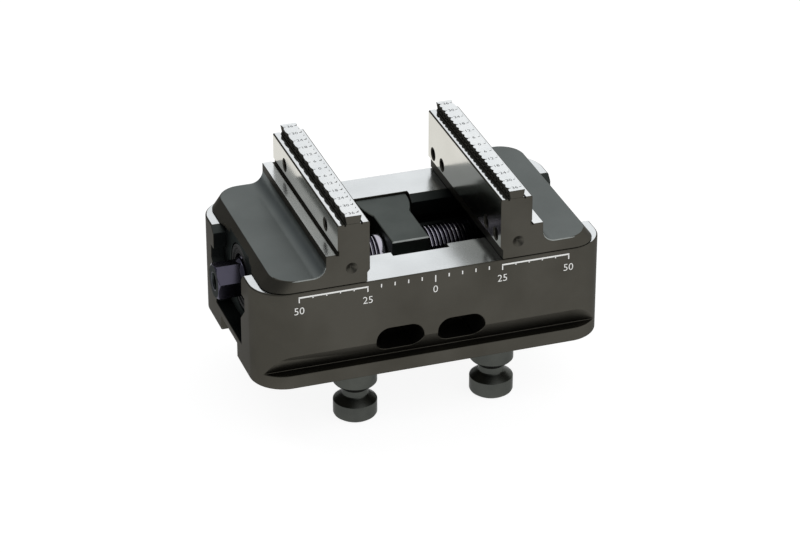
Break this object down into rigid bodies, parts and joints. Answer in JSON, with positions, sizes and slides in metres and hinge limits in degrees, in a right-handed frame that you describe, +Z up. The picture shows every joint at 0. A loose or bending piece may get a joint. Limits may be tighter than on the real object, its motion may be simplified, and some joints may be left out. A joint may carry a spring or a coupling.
{
  "type": "self-centring five-axis machine vise",
  "caption": "Compact self-centring vise: two stepped, serrated jaws close together on one left- and right-hand spindle in a T-slotted base with pull studs under it.",
  "frame": {"origin": "centre of the base's underside, the face from which the pull studs hang", "axes": "+X runs along the spindle, away from its hex drive; +Y runs along the jaws, away from the front face with the scale; +Z is up"},
  "size_m": [0.135, 0.077, 0.0866],
  "materials": {
    "burnished_steel": "dark burnished, satin, with bright ground guide and gripping faces",
    "block_steel": "dark burnished, satin",
    "spindle_steel": "dark burnished with bright rolled thread crests",
    "screw_steel": "black oxide",
    "pin_steel": "ground",
    "nut_bronze": "turned bronze",
    "wiper_rubber": "matt black rubber"
  },
  "bodies": {
    "base": {"base_body": "burnished_steel", "bearing_block": "block_steel", "bearing_screw_1": "screw_steel", "bearing_screw_2": "screw_steel", "bearing_screw_3": "screw_steel", "bearing_screw_4": "screw_steel", "dowel_pin_front": "pin_steel", "dowel_pin_rear": "pin_steel", "pull_stud_front_left": "burnished_steel", "pull_stud_front_right": "burnished_steel", "pull_stud_rear_left": "burnished_steel", "pull_stud_rear_right": "burnished_steel"},
    "spindle": {"spindle": "spindle_steel"},
    "carriage_left": {"jaw_left": "burnished_steel", "spindle_nut_left": "nut_bronze", "nut_screw_left": "screw_steel", "wiper_ring_left": "wiper_rubber"},
    "carriage_right": {"jaw_right": "burnished_steel", "spindle_nut_right": "nut_bronze", "nut_screw_right": "screw_steel", "wiper_ring_right": "wiper_rubber"}
  },
  "joints": [
    {"name": "spindle_turn", "type": "hinge", "parent": "base", "child": "spindle", "pos_m": [0, 0, 0.0263], "axis": [1, 0, 0], "range_deg": [-3000, 5640]},
    {"name": "jaw_left_slide", "type": "slide", "parent": "base", "child": "carriage_left", "axis": [1, 0, 0], "range_m": [-0.0125, 0.0235]},
    {"name": "jaw_right_slide", "type": "slide", "parent": "base", "child": "carriage_right", "axis": [1, 0, 0], "range_m": [-0.0235, 0.0125]}
  ],
  "couplings": [
    {"joint": "spindle_turn", "follows": "jaw_left_slide", "rad_per_m": 4188.8},
    {"joint": "jaw_right_slide", "follows": "jaw_left_slide", "ratio": -1}
  ]
}
